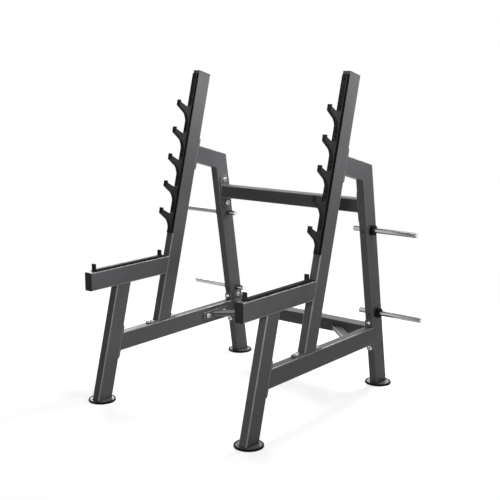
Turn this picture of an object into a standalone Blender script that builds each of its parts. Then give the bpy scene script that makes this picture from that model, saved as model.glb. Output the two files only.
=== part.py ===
"""Squat rack: two leaning side frames of rectangular tube with five bar hooks each,
spotter arms, plate storage rods, and a rear tie made of two cross members and two braces.

Metres. X runs across the rack, the lifter's front is at -Y, +Z is up, the floor is z = 0.
"""
import math

import bmesh
import bpy
from mathutils import Vector

# Overall sizes
frame_spacing = 1.040       # between the middle planes of the two side frames
upright_top = 1.7917        # height of the upright's front top corner
arm_top = 0.735             # top face of the spotter arm
arm_front_y = -0.680        # front end of the spotter arm, cap included
rail_top = 0.359            # top face of the lower side rail
knee_height = 1.3585        # where the knee beam's top face meets the upright
front_leg_y = -0.6597       # front faces of the three slanted members, carried down to z = 0
upright_y = -0.2722
rear_leg_y = 0.5566
lean = math.radians(15.0)        # front leg and upright lean back
rear_lean = math.radians(9.4)    # rear leg leans forward

# Main tube
tube_depth = 0.100
tube_width = 0.050
tube_wall = 0.003
tube_corner = 0.005
gap = 0.0003                # between pieces that touch

# Cross members and braces
cross_size = 0.075
cross_wall = 0.0025
upper_cross_z = 1.064
lower_cross_z = 0.320
brace_width = 0.050
brace_height = 0.025
brace_wall = 0.002
brace_rail_y = 0.329        # where the brace's middle line meets the rail's inner face
brace_cross_x = 0.283       # and the lower cross member's front face

# Bolted end plates
plate_thick = 0.008
plate_over = 0.048          # reach of a plate past the main tube, at each end
plate_inset = 0.001         # plates stop this far short of the tube's sides
plate_corner = 0.016
cross_plate_side = 0.0025   # cross member plates: past the tube's sides
cross_plate_over = 0.0605   # and past the tube, at each end
cross_plate_corner = 0.026
base_plate_over = 0.064     # the upright's base plate is longer
brace_plate_over = 0.0726   # and so is the brace's
brace_plate_height = 0.050
brace_plate_corner = 0.012
bolt_hole = 0.013
bolt_inset = 0.023          # from the end of the plate to the bolt
base_bolt_inset = 0.030
brace_bolt_inset = 0.032
vent_hole = 0.020           # into the tube, through a plate that closes it

# Feet: a steel disc under the leg, seated in a rubber foot
disc_over = 0.0082          # disc past the corners of the tube that stands on it
disc_top = 0.010
disc_chamfer = 0.0008
rubber_floor = 0.004        # rubber under the disc
rubber_rim = 0.009          # width of the rim round the disc
rim_top = 0.0108
rim_chamfer = 0.003
rim_lip = 0.0015

# Plate storage
rod_diameter = 0.028
rod_outer_reach = 0.281     # past the leg's outer face
rod_inner_reach = 0.064     # past the leg's inner face
rod_chamfer = 0.0015
upper_rod_z = 0.928
lower_rod_z = 0.440
collar_diameter = 0.056
collar_length = 0.022
collar_chamfer = 0.0025

# Wear bars: five hooks, the plain bar above them, and the bar on the spotter arm
hook_count = 5
bar_thick = 0.025           # along X
backing_thick = 0.003
backing_width = 0.046
face_out = 0.010            # front of the wear bar, from the tube
edge_round = 0.002          # on the bars' free corners
joint_chamfer = 0.001       # where one segment meets the next
top_seat_drop = 0.2209      # top hook's seat below the upright's top, along the upright
low_seat_rise = 0.2440      # lowest hook's seat above the spotter arm's top, along the upright
segment_above = 0.0457      # end of a hook segment above its seat
top_bar_gap = 0.015         # bare tube left above the plain bar

# Profile of one hook: out from the tube and up from its seat
hook_reach = 0.107
seat_radius = 0.016         # between the bar's face and the seat
ramp_out = 0.034            # where the flat of the seat starts to climb to the tip
ramp_rise = 0.013
tip_thick = 0.009
tip_rise = 0.025
tip_fillet = 0.003          # inside corner between the ramp and the tip
tip_chamfer = 0.0015
tip_slope_out = 0.0015      # sloping inner edge of the tip, out and down
tip_slope_down = 0.0025
nose_drop = 0.009           # lower corner of the tip
nose_chamfer = 0.002
belly_out = 0.044           # where the straight underside turns in towards the bar
belly_drop = 0.0365
neck_drop = 0.099           # where the underside runs out into the bar's face
ramp_start = 6              # degrees as the ramp leaves the flat of the seat
ramp_slope = 15             # and at the tip
belly_turn = 213            # degrees: the underside's direction as it leaves the straight
neck_turn = 262             # and as it reaches the bar
sweep_handle = 0.32         # share of a smooth curve's span that keeps its end direction

# Bar on the spotter arm
arm_bar_front = 0.0395      # bare tube ahead of it
arm_bar_rear = 0.050        # bare tube behind it
upstand_height = 0.0415
upstand_thick = 0.0105
upstand_fillet = 0.005
strip_short = 0.006         # bare tube between the backing strip and the upright

# Plastic caps
cap_thick = 0.003
cap_plug = 0.012
cap_clear = 0.0005
cap_round = 0.0012

# Facets
corner_steps = 3            # on a tube corner
plate_steps = 4             # on a plate corner
hole_facets = 12
rod_facets = 24
foot_facets = 36


for obj in list(bpy.data.objects):
    bpy.data.objects.remove(obj, do_unlink=True)


def make_material(name, colour, roughness, metallic):
    mat = bpy.data.materials.new(name)
    mat.use_nodes = True
    shader = mat.node_tree.nodes["Principled BSDF"]
    shader.inputs["Base Color"].default_value = (*colour, 1.0)
    shader.inputs["Roughness"].default_value = roughness
    shader.inputs["Metallic"].default_value = metallic
    return mat


frame_paint = make_material("charcoal_powder_coat", (0.075, 0.076, 0.079), 0.45, 0.0)
black_plastic = make_material("black_plastic", (0.020, 0.020, 0.021), 0.40, 0.0)
cap_plastic = make_material("cap_plastic", (0.030, 0.030, 0.032), 0.45, 0.0)
backing_rubber = make_material("backing_rubber", (0.008, 0.008, 0.008), 0.70, 0.0)
foot_rubber = make_material("foot_rubber", (0.012, 0.012, 0.012), 0.60, 0.0)
rod_steel = make_material("rod_steel", (0.62, 0.63, 0.64), 0.22, 1.0)


def yz(y, z):
    return Vector((0.0, y, z))


across = Vector((1.0, 0.0, 0.0))
rearward = Vector((0.0, 1.0, 0.0))
up = Vector((0.0, 0.0, 1.0))


class Member:
    """A slanted tube of the side frame, given by its front face carried down to the floor."""

    def __init__(self, floor_y, angle):
        self.floor = yz(floor_y, 0.0)
        self.along = yz(math.sin(angle), math.cos(angle))
        self.back = yz(math.cos(angle), -math.sin(angle))

    def at(self, z, depth):
        """Point at height z on the plane lying depth behind the front face."""
        start = self.floor + self.back * depth
        return start + self.along * ((z - start.z) / self.along.z)

    def up_to(self, distance, depth):
        """Point at a distance along the member from the floor."""
        return self.floor + self.along * distance + self.back * depth


front_leg = Member(front_leg_y, lean)
upright = Member(upright_y, lean)
rear_leg = Member(rear_leg_y, -rear_lean)
half_frame = frame_spacing / 2
half_width = tube_width / 2
half_depth = tube_depth / 2
side_size = (tube_width, tube_depth)
sides = (("left", -1), ("right", 1))


def corner_loop(wide, tall, radius, steps):
    """Points round a rounded rectangle, in the plane of its section."""
    points = []
    for index in range(4):
        turn = index * math.pi / 2
        cx = (wide / 2 - radius) * (1 if index in (0, 3) else -1)
        cy = (tall / 2 - radius) * (1 if index in (0, 1) else -1)
        for step in range(steps + 1):
            angle = turn + step * math.pi / 2 / steps
            points.append((cx + radius * math.cos(angle), cy + radius * math.sin(angle)))
    return points


def loop_edges(bm, points, origin, side, rise):
    verts = [bm.verts.new(origin + side * a + rise * b) for a, b in points]
    return [bm.edges.new((verts[i - 1], verts[i])) for i in range(len(verts))]


def finish_mesh(bm, name):
    bmesh.ops.recalc_face_normals(bm, faces=bm.faces)
    mesh = bpy.data.meshes.new(name)
    bm.to_mesh(mesh)
    bm.free()
    return mesh


def extruded(bm, offset):
    """Extrudes all faces by an offset and gives the moved vertices."""
    made = bmesh.ops.extrude_face_region(bm, geom=list(bm.faces), use_keep_orig=True)
    moved = [item for item in made["geom"] if isinstance(item, bmesh.types.BMVert)]
    bmesh.ops.translate(bm, verts=moved, vec=offset)
    return moved


def slide(verts, direction, point, normal):
    """Moves vertices along a direction onto a plane."""
    for vert in verts:
        vert.co += direction * ((point - vert.co).dot(normal) / direction.dot(normal))


def tube_mesh(name, origin, direction, side, rise, size, wall, start_cut, end_cut):
    """Open rectangular tube between two cutting planes, each a point and a normal."""
    wide, tall = size
    bm = bmesh.new()
    outer = loop_edges(bm, corner_loop(wide, tall, tube_corner, corner_steps), origin, side, rise)
    inner_corner = max(tube_corner - wall, wall / 2)
    inner_points = corner_loop(wide - 2 * wall, tall - 2 * wall, inner_corner, corner_steps)
    inner = loop_edges(bm, inner_points, origin, side, rise)
    bmesh.ops.bridge_loops(bm, edges=outer + inner)
    start = list(bm.verts)
    end = extruded(bm, direction)
    slide(start, direction, *start_cut)
    slide(end, direction, *end_cut)
    return finish_mesh(bm, name)


def slab_mesh(name, centre, side, rise, normal, size, radius):
    """Flat plate with rounded corners; centre lies on its back face."""
    wide, tall, thick = size
    bm = bmesh.new()
    edges = loop_edges(bm, corner_loop(wide, tall, radius, plate_steps), centre, side, rise)
    bmesh.ops.contextual_create(bm, geom=edges)
    extruded(bm, normal * thick)
    return finish_mesh(bm, name)


def rod_mesh(name, centre, direction, radius, length, facets, chamfer=0.0):
    bm = bmesh.new()
    bmesh.ops.create_cone(bm, cap_ends=True, segments=facets, radius1=radius, radius2=radius,
                          depth=length)
    if chamfer > 0.0:
        rims = [edge for edge in bm.edges if edge.verts[0].co.z * edge.verts[1].co.z > 0.0]
        bmesh.ops.bevel(bm, geom=rims, offset=chamfer, segments=1, profile=0.5, affect="EDGES")
    turn = up.rotation_difference(direction).to_matrix().to_4x4()
    bmesh.ops.transform(bm, matrix=turn, verts=bm.verts)
    bmesh.ops.translate(bm, verts=bm.verts, vec=centre)
    return finish_mesh(bm, name)


def outline_mesh(name, points, thick):
    """Side outline in the YZ plane made into a bar of the given thickness along X."""
    bm = bmesh.new()
    verts = [bm.verts.new(point - across * thick / 2) for point in points]
    bm.faces.new(verts)
    extruded(bm, across * thick)
    return finish_mesh(bm, name)


def spin_mesh(name, profile, facets):
    """Turned piece about the Z axis; the profile starts and ends on the axis or closes."""
    bm = bmesh.new()
    verts = [bm.verts.new((r, 0.0, z)) for r, z in profile]
    edges = [bm.edges.new((verts[i], verts[i + 1])) for i in range(len(verts) - 1)]
    if profile[0][0] > 0.0:
        edges.append(bm.edges.new((verts[-1], verts[0])))
    bmesh.ops.spin(bm, geom=verts + edges, cent=(0, 0, 0), axis=up, angle=2 * math.pi,
                   steps=facets, use_merge=True, use_duplicate=False)
    bmesh.ops.remove_doubles(bm, verts=bm.verts, dist=1e-6)
    return finish_mesh(bm, name)


def helper(mesh):
    obj = bpy.data.objects.new("helper", mesh)
    bpy.context.scene.collection.objects.link(obj)
    return obj


def combined(base_mesh, added, removed):
    """Mesh of a base with other solids welded on and then holes cut out."""
    base = helper(base_mesh)
    tools = [(helper(mesh), "UNION") for mesh in added]
    tools += [(helper(mesh), "DIFFERENCE") for mesh in removed]
    for tool, operation in tools:
        modifier = base.modifiers.new(operation.lower(), "BOOLEAN")
        modifier.operation = operation
        modifier.solver = "EXACT"
        modifier.object = tool
    bpy.context.view_layer.update()
    depsgraph = bpy.context.evaluated_depsgraph_get()
    mesh = bpy.data.meshes.new_from_object(base.evaluated_get(depsgraph))
    mesh.name = base_mesh.name
    for tool, operation in tools:
        bpy.data.objects.remove(tool, do_unlink=True)
    bpy.data.objects.remove(base, do_unlink=True)
    return mesh


def place(name, mesh, location, material, round_piece=False):
    obj = bpy.data.objects.new(name, mesh)
    bpy.context.scene.collection.objects.link(obj)
    obj.location = location
    mesh.materials.clear()
    mesh.materials.append(material)
    if round_piece:
        mesh.shade_smooth()
        mesh.set_sharp_from_angle(angle=math.radians(35))


def place_pair(name, mesh, material):
    """The same piece on the left and the right side frame."""
    for side, sign in sides:
        place(name + "_" + side, mesh, across * sign * half_frame, material)


def crossing(point_a, dir_a, point_b, dir_b):
    """Where two lines of the side view cross."""
    normal = yz(-dir_b.z, dir_b.y)
    return point_a + dir_a * ((point_b - point_a).dot(normal) / dir_a.dot(normal))


# Joint positions in the side frame
rail_middle = rail_top - half_depth
arm_middle = arm_top - half_depth
arm_low = arm_top - tube_depth
knee_dir = upright.back
knee_down = -upright.along
knee_front = upright.at(knee_height, tube_depth)
knee_middle = knee_front + knee_down * half_depth
rail_front_at = front_leg.at(rail_middle, tube_depth)
rail_rear_at = rear_leg.at(rail_middle, 0.0)
upper_cross_at = rear_leg.at(upper_cross_z, half_depth)
lower_cross_at = rear_leg.at(lower_cross_z, half_depth)
base_middle = upright.at(rail_top, half_depth)
front_foot = front_leg.at(disc_top, half_depth)
rear_foot = rear_leg.at(disc_top, half_depth)

# The brace's middle line, and the length of its cut end on the rail
inner_x = half_frame - half_width
brace_on_rail = yz(brace_rail_y, rail_middle)
brace_end_y = lower_cross_at.y - cross_size / 2 - gap
brace_run = Vector((brace_cross_x - inner_x + gap, brace_end_y - brace_rail_y, 0.0)).normalized()
brace_footing = brace_width / abs(brace_run.x)
brace_plate_long = brace_footing + 2 * brace_plate_over
brace_bolt_reach = brace_plate_long / 2 - brace_bolt_inset

# Mitre between the knee beam and the rear leg, through the outer and inner corners
rear_back = rear_leg.at(knee_height, tube_depth)
rear_front = rear_leg.at(knee_height, 0.0)
knee_outer = crossing(knee_front, knee_dir, rear_back, rear_leg.along)
knee_inner = crossing(knee_front + knee_down * tube_depth, knee_dir, rear_front, rear_leg.along)
mitre_line = (knee_outer - knee_inner).normalized()
mitre_normal = yz(mitre_line.z, -mitre_line.y)
mitre_point = (knee_outer + knee_inner) / 2

# Plates and the distance of their bolts from the plate's middle
plate_wide = tube_width - 2 * plate_inset
plate_long = tube_depth + 2 * plate_over
bolt_reach = plate_long / 2 - bolt_inset
base_long = tube_depth / math.cos(lean) + 2 * base_plate_over
base_bolt_reach = base_long / 2 - base_bolt_inset
cross_plate_wide = cross_size + 2 * cross_plate_side
cross_plate_long = cross_size + 2 * cross_plate_over
cross_bolt_reach = cross_plate_long / 2 - bolt_inset
hole_depth = 6 * plate_thick


def bolt_holes(middle, along, reach, normal):
    """Two bolt holes either side of a plate's middle."""
    return [rod_mesh("hole", middle + along * reach * sign, normal, bolt_hole / 2, hole_depth,
                     hole_facets) for sign in (-1, 1)]


def vent(middle, normal):
    return rod_mesh("vent", middle, normal, vent_hole / 2, hole_depth, hole_facets)


# Front leg with its steel foot disc
disc_radius = math.hypot(half_width, half_depth / math.cos(lean)) + disc_over
disc_thick = disc_top - rubber_floor - gap
disc_middle = disc_top - disc_thick / 2


def foot_disc(foot):
    return rod_mesh("disc", yz(foot.y, disc_middle), up, disc_radius, disc_thick, foot_facets,
                    disc_chamfer)


leg_tube = tube_mesh("front_leg", front_foot, front_leg.along, across, front_leg.back, side_size,
                     tube_wall, (yz(0, disc_middle), up), (yz(0, arm_low - gap), up))
leg_holes = bolt_holes(rail_front_at, front_leg.along, bolt_reach, front_leg.back)
place_pair("front_leg", combined(leg_tube, [foot_disc(front_foot)], leg_holes), frame_paint)

# Spotter arm
arm_end = yz(arm_front_y + cap_thick + gap, arm_middle)
arm_tube = tube_mesh("spotter_arm", arm_end, rearward, across, up, side_size, tube_wall,
                     (arm_end, rearward), (upright.at(arm_top, -gap), upright.back))
place_pair("spotter_arm", arm_tube, frame_paint)

# Upright with its base plate
upright_length = upright_top / upright.along.z
upright_end = upright.up_to(upright_length, half_depth)
upright_tube = tube_mesh("upright", base_middle, upright.along, across, upright.back, side_size,
                         tube_wall, (base_middle + up * (gap + plate_thick / 2), up),
                         (upright_end, upright.along))
base_plate = slab_mesh("base", base_middle + up * gap, across, rearward, up,
                       (plate_wide, base_long, plate_thick), plate_corner)
upright_holes = bolt_holes(base_middle, rearward, base_bolt_reach, up)
upright_holes += bolt_holes(knee_middle, upright.along, bolt_reach, upright.back)
place_pair("upright", combined(upright_tube, [base_plate], upright_holes), frame_paint)

# Knee beam with its end plate against the upright
knee_tube = tube_mesh("knee_beam", knee_middle, knee_dir, across, knee_down, side_size, tube_wall,
                      (knee_middle + knee_dir * (gap + plate_thick / 2), knee_dir),
                      (mitre_point - mitre_normal * gap / 2, mitre_normal))
knee_plate = slab_mesh("knee_plate", knee_middle + knee_dir * gap, across, knee_down, knee_dir,
                       (plate_wide, plate_long, plate_thick), plate_corner)
knee_holes = bolt_holes(knee_middle, upright.along, bolt_reach, knee_dir)
place_pair("knee_beam", combined(knee_tube, [knee_plate], knee_holes), frame_paint)

# Rear leg with its foot disc, cross holes for the storage rods and bolt holes
rear_tube = tube_mesh("rear_leg", rear_foot, rear_leg.along, across, rear_leg.back, side_size,
                      tube_wall, (yz(0, disc_middle), up),
                      (mitre_point + mitre_normal * gap / 2, mitre_normal))
rod_places = {"upper": rear_leg.at(upper_rod_z, half_depth),
              "lower": rear_leg.at(lower_rod_z, half_depth)}


def rear_leg_mesh(inner_sign):
    """Rear leg whose cross member holes are on the side facing the lifter's bay."""
    inner_face = across * half_width * inner_sign
    holes = bolt_holes(rail_rear_at, rear_leg.along, bolt_reach, rear_leg.back)
    for middle in rod_places.values():
        holes.append(rod_mesh("hole", middle, across, rod_diameter / 2 + gap, tube_width * 2,
                              rod_facets))
    for middle in (upper_cross_at, lower_cross_at):
        holes += bolt_holes(middle + inner_face, rear_leg.along, cross_bolt_reach, across)
    return combined(rear_tube.copy(), [foot_disc(rear_foot)], holes)


# Lower rail, and the end plates that carry it on the legs
rail_ends = {"front": (front_leg, rail_front_at, 1), "rear": (rear_leg, rail_rear_at, -1)}
rail_sink = plate_thick + 2 * gap


def rail_mesh(inner_sign):
    """Lower rail whose brace holes are on the side facing the lifter's bay."""
    inner_face = across * half_width * inner_sign
    tube = tube_mesh("lower_rail", yz(0, rail_middle), rearward, across, up, side_size, tube_wall,
                     (rail_front_at + front_leg.back * rail_sink, front_leg.back),
                     (rail_rear_at - rear_leg.back * rail_sink, rear_leg.back))
    holes = bolt_holes(base_middle, rearward, base_bolt_reach, up)
    holes += bolt_holes(brace_on_rail + inner_face, rearward, brace_bolt_reach, across)
    return combined(tube, [], holes)


def rail_plate_mesh(leg, face, sign):
    """Plate between a leg and the rail's cut end, with a vent into the tube."""
    inward = leg.back * sign
    plate = slab_mesh("rail_plate", face + inward * gap, across, leg.along, inward,
                      (plate_wide, plate_long, plate_thick), plate_corner)
    holes = bolt_holes(face, leg.along, bolt_reach, leg.back) + [vent(face, leg.back)]
    return combined(plate, [], holes)


for end, (leg, face, sign) in rail_ends.items():
    place_pair("rail_plate_" + end, rail_plate_mesh(leg, face, sign), frame_paint)

for side, sign in sides:
    place("rear_leg_" + side, rear_leg_mesh(-sign), across * sign * half_frame, frame_paint)
    place("lower_rail_" + side, rail_mesh(-sign), across * sign * half_frame, frame_paint)


# Cross members, with an end plate on each rear leg's inner face
def cross_mesh(name, middle):
    """Cross member whose tube stands square to the floor while its plates follow the leg."""
    tube_end = across * (inner_x - gap - plate_thick / 2)
    tube = tube_mesh(name, middle, across, rearward, up, (cross_size, cross_size), cross_wall,
                     (-tube_end, across), (tube_end, across))
    plates = []
    holes = []
    for side, sign in sides:
        face = middle + across * sign * (inner_x - gap)
        plates.append(slab_mesh("plate", face, rear_leg.back, rear_leg.along, across * -sign,
                                (cross_plate_wide, cross_plate_long, plate_thick),
                                cross_plate_corner))
        holes += bolt_holes(face, rear_leg.along, cross_bolt_reach, across)
        holes.append(vent(face, across))
    return combined(tube, plates, holes)


for level, middle in (("upper", upper_cross_at), ("lower", lower_cross_at)):
    name = level + "_cross_member"
    place(name, cross_mesh(name, middle), (0, 0, 0), frame_paint)


# Flat braces between the lower rails and the lower cross member
def brace_mesh(sign):
    rail_end = brace_on_rail + across * sign * (inner_x - gap)
    direction = Vector((sign * brace_run.x, brace_run.y, 0.0))
    inward = across * -sign
    tube = tube_mesh("brace", rail_end, direction, direction.cross(up), up,
                     (brace_width, brace_height), brace_wall,
                     (rail_end + inward * plate_thick / 2, across),
                     (yz(brace_end_y, rail_middle), rearward))
    plate = slab_mesh("plate", rail_end, rearward, up, inward,
                      (brace_plate_long, brace_plate_height, plate_thick), brace_plate_corner)
    return combined(tube, [plate], bolt_holes(rail_end, rearward, brace_bolt_reach, across))


for side, sign in sides:
    place("brace_" + side, brace_mesh(sign), (0, 0, 0), frame_paint)

# Rubber feet, one under each steel disc
rim_inner = disc_radius + gap
foot_radius = rim_inner + rubber_rim
foot_profile = [(0.0, 0.0), (foot_radius, 0.0), (foot_radius, rim_top - rim_chamfer),
                (foot_radius - rim_chamfer, rim_top), (rim_inner + rim_lip, rim_top),
                (rim_inner, rim_top - rim_lip), (rim_inner, rubber_floor), (0.0, rubber_floor)]
rubber_foot = spin_mesh("rubber_foot", foot_profile, foot_facets)
for end, foot in (("front", front_foot), ("rear", rear_foot)):
    for side, sign in sides:
        place("rubber_foot_" + end + "_" + side, rubber_foot, (sign * half_frame, foot.y, 0),
              foot_rubber, True)


# Plastic caps in the open tube ends
def cap_mesh(name, centre, normal, rise):
    """Flange on the tube's end with a plug inside; centre lies on the cut end."""
    bm = bmesh.new()
    face_at = gap + cap_thick
    edges = loop_edges(bm, corner_loop(tube_width, tube_depth, tube_corner, corner_steps),
                       centre + normal * face_at, across, rise)
    bmesh.ops.contextual_create(bm, geom=edges)
    back = extruded(bm, normal * -cap_thick)
    under = [face for face in bm.faces if all(vert in back for vert in face.verts)]
    bmesh.ops.inset_region(bm, faces=under, thickness=tube_wall + cap_clear)
    made = bmesh.ops.extrude_face_region(bm, geom=under)
    plug = [item for item in made["geom"] if isinstance(item, bmesh.types.BMVert)]
    bmesh.ops.delete(bm, geom=under, context="FACES_ONLY")
    bmesh.ops.translate(bm, verts=plug, vec=normal * -cap_plug)
    front = [edge for edge in bm.edges
             if all((vert.co - centre).dot(normal) > face_at - gap / 2 for vert in edge.verts)]
    bmesh.ops.bevel(bm, geom=front, offset=cap_round, segments=2, profile=0.5, affect="EDGES")
    return finish_mesh(bm, name)


upright_cap = cap_mesh("upright_cap", upright_end, upright.along, upright.back)
place_pair("upright_cap", upright_cap, cap_plastic)
place_pair("spotter_arm_cap", cap_mesh("spotter_arm_cap", arm_end, -rearward, up), cap_plastic)

# Wear bars on the upright
top_seat = upright_length - top_seat_drop
low_seat = arm_top / upright.along.z + low_seat_rise
hook_pitch = (top_seat - low_seat) / (hook_count - 1)
segment_below = hook_pitch - segment_above
bars_low = low_seat - segment_below
bars_high = upright_length - top_bar_gap
bar_back = backing_thick + 2 * gap


def on_upright(out, distance):
    """Point ahead of the upright's front face at a distance along it."""
    return upright.up_to(distance, -out)


def arc(cx, cy, radius, first, last, steps):
    """Points on an arc of the side outline, angles in degrees."""
    points = []
    for step in range(steps + 1):
        angle = math.radians(first + (last - first) * step / steps)
        points.append((cx + radius * math.cos(angle), cy + radius * math.sin(angle)))
    return points


def sweep(start, leaving, end, arriving, steps):
    """Smooth curve between two points with its end directions given in degrees."""
    reach = math.dist(start, end) * sweep_handle
    leave = math.radians(leaving)
    arrive = math.radians(arriving)
    first = (start[0] + reach * math.cos(leave), start[1] + reach * math.sin(leave))
    last = (end[0] - reach * math.cos(arrive), end[1] - reach * math.sin(arrive))
    points = []
    for step in range(steps + 1):
        t = step / steps
        shares = ((1 - t) ** 3, 3 * t * (1 - t) ** 2, 3 * t * t * (1 - t), t ** 3)
        corners = (start, first, last, end)
        points.append(tuple(sum(share * corner[axis] for share, corner in zip(shares, corners))
                            for axis in (0, 1)))
    return points


def hook_outline():
    """Outline of one hook segment, from the back of the bar over the seat and round the tip."""
    top = segment_above - gap / 2
    low = gap / 2 - segment_below
    tip_back = hook_reach - tip_thick
    nose = hook_reach - nose_chamfer / 2
    back = [(bar_back, low), (bar_back, top), (face_out - joint_chamfer, top),
            (face_out, top - joint_chamfer)]
    seat = arc(face_out + seat_radius, seat_radius, seat_radius, 180, 270, 6)
    ramp = sweep((ramp_out, 0.0), ramp_start, (tip_back - tip_fillet, ramp_rise), ramp_slope, 5)
    tip = [(tip_back, ramp_rise + tip_fillet), (tip_back, tip_rise - tip_slope_down),
           (tip_back + tip_slope_out, tip_rise), (hook_reach - tip_chamfer, tip_rise),
           (hook_reach, tip_rise - tip_chamfer), (nose, nose_chamfer - nose_drop),
           (nose - nose_chamfer, -nose_drop)]
    belly = sweep((belly_out, -belly_drop), belly_turn, (face_out, -neck_drop), neck_turn, 8)
    foot = [(face_out, low + joint_chamfer), (face_out - joint_chamfer, low)]
    return back + seat + ramp + tip + belly + foot


for number in range(hook_count):
    seat = top_seat - number * hook_pitch
    outline = [on_upright(out, seat + rise) for out, rise in hook_outline()]
    place_pair("hook_" + str(number + 1), outline_mesh("hook", outline, bar_thick), black_plastic)

plain_low = top_seat + segment_above + gap / 2
plain_outline = [(bar_back, plain_low), (bar_back, bars_high), (face_out - edge_round, bars_high),
                 (face_out, bars_high - edge_round), (face_out, plain_low + joint_chamfer),
                 (face_out - joint_chamfer, plain_low)]
plain_bar = outline_mesh("wear_bar", [on_upright(*point) for point in plain_outline], bar_thick)
place_pair("upright_wear_bar", plain_bar, black_plastic)

backing_middle = on_upright(gap, (bars_low + bars_high) / 2)
backing = slab_mesh("backing", backing_middle, across, upright.along, -upright.back,
                    (backing_width, bars_high - bars_low, backing_thick), backing_thick)
place_pair("upright_backing", backing, backing_rubber)

# Wear bar on the spotter arm, with an upstand at each end
arm_meets_upright = upright.at(arm_top, 0).y
bar_front = arm_front_y + arm_bar_front
bar_rear = arm_meets_upright - arm_bar_rear


def arm_bar_outline():
    under = arm_top + bar_back
    face = arm_top + face_out
    stand = arm_top + upstand_height
    front_in = bar_front + upstand_thick
    rear_in = bar_rear - upstand_thick
    front = [(bar_rear, under), (bar_front, under), (bar_front, stand - edge_round),
             (bar_front + edge_round, stand), (front_in - edge_round, stand),
             (front_in, stand - edge_round)]
    trough = arc(front_in + upstand_fillet, face + upstand_fillet, upstand_fillet, 180, 270, 4)
    trough += arc(rear_in - upstand_fillet, face + upstand_fillet, upstand_fillet, 270, 360, 4)
    rear = [(rear_in, stand - edge_round), (rear_in + edge_round, stand),
            (bar_rear - edge_round, stand), (bar_rear, stand - edge_round)]
    return [yz(*point) for point in front + trough + rear]


place_pair("spotter_wear_bar", outline_mesh("arm_bar", arm_bar_outline(), bar_thick),
           black_plastic)
strip_long = arm_meets_upright - strip_short - bar_front
strip = slab_mesh("strip", yz(bar_front + strip_long / 2, arm_top + gap), across, rearward, up,
                  (backing_width, strip_long, backing_thick), backing_thick)
place_pair("spotter_backing", strip, backing_rubber)

# Storage rods through the rear legs, each with a rubber collar outside
rod_long = tube_width + rod_outer_reach + rod_inner_reach
rod_shift = half_frame + (rod_outer_reach - rod_inner_reach) / 2
collar_shift = half_frame + half_width + gap + collar_length / 2


def collar_mesh():
    outer = collar_diameter / 2
    inner = rod_diameter / 2 + gap
    half = collar_length / 2
    profile = [(inner, -half), (outer - collar_chamfer, -half), (outer, collar_chamfer - half),
               (outer, half - collar_chamfer), (outer - collar_chamfer, half), (inner, half)]
    mesh = spin_mesh("rod_collar", profile, rod_facets)
    mesh.transform(up.rotation_difference(across).to_matrix().to_4x4())
    return mesh


rod = rod_mesh("storage_rod", Vector(), across, rod_diameter / 2, rod_long, rod_facets, rod_chamfer)
collar = collar_mesh()
for level, middle in rod_places.items():
    for side, sign in sides:
        place("storage_rod_" + level + "_" + side, rod, middle + across * sign * rod_shift,
              rod_steel, True)
        place("rod_collar_" + level + "_" + side, collar, middle + across * sign * collar_shift,
              foot_rubber, True)
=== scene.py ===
import math

import bmesh
import bpy
from bmesh.types import BMEdge, BMFace, BMVert
from mathutils import Matrix, Vector
from mathutils.geometry import interpolate_bezier


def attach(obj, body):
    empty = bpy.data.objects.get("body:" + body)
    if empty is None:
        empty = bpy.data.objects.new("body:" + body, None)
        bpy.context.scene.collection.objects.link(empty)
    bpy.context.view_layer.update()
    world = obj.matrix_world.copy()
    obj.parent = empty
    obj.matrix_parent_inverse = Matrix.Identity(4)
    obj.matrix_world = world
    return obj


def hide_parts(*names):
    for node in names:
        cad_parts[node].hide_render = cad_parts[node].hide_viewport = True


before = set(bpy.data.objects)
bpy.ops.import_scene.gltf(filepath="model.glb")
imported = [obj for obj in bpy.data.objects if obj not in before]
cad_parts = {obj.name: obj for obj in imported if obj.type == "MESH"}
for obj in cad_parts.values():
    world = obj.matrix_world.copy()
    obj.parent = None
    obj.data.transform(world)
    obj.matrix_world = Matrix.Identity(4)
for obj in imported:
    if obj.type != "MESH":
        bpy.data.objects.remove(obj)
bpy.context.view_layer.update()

# metres: +X right, the rack's open front at -Y, +Z up, the floor at z 0
across = Vector((1, 0, 0))
rearward = Vector((0, 1, 0))
up = Vector((0, 0, 1))
sides = {"Left": -across, "Right": across}
tiny = 1e-6                   # points closer than this are one point
margin = 1e-4                 # for picking edges by their place

sideFrame = {
    "middle": 0.520,          # from the centre line to a side frame's middle plane
    "tube": (0.050, 0.100),   # across, deep
    "corner": 0.005,
    "gap": 0.0003,            # between a plate and what it is bolted to
    "frontLegFloor": -0.6597,
    "uprightFloor": -0.2722,
    "rearLegFloor": 0.5566,
    "lean": 15.0,
    "rearLean": -9.4,
    "uprightTop": 1.7917,
    "armTop": 0.735,
    "armFront": -0.680,
    "railTop": 0.359,
    "kneeTop": 1.3585,
    "stripFrom": 0.8934,      # along the upright, where its black strip starts
    "rearCornerShade": 0.75,      # how much less wear and painted highlight the rear legs' and knee beams' corners get, as painted shade
    "cornerSegments": 6,
}
plates = {
    "thick": 0.008,
    "wide": 0.048,
    "long": 0.196,            # rail and knee plates
    "corner": 0.016,
    "bolt": 0.075,            # bolts from the plate's middle
    "baseLong": 0.23153,
    "baseBolt": 0.08576,
    "crossSize": (0.080, 0.196),
    "crossCorner": 0.026,
    "braceSize": (0.050, 0.22361),
    "braceCorner": 0.012,
    "braceBolt": 0.0740,
    "edgeRound": 0.0011,
    "cornerSegments": 8,
}
tubeWide, tubeDeep = sideFrame["tube"]
halfWide = tubeWide / 2
halfDeep = tubeDeep / 2
gap = sideFrame["gap"]
inset = 0.004                 # how deep a tube's end sits in its plate
armTop = sideFrame["armTop"]
innerFace = sideFrame["middle"] - halfWide
plateFace = gap + plates["thick"]


# Slanted lines of the side frame

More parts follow.
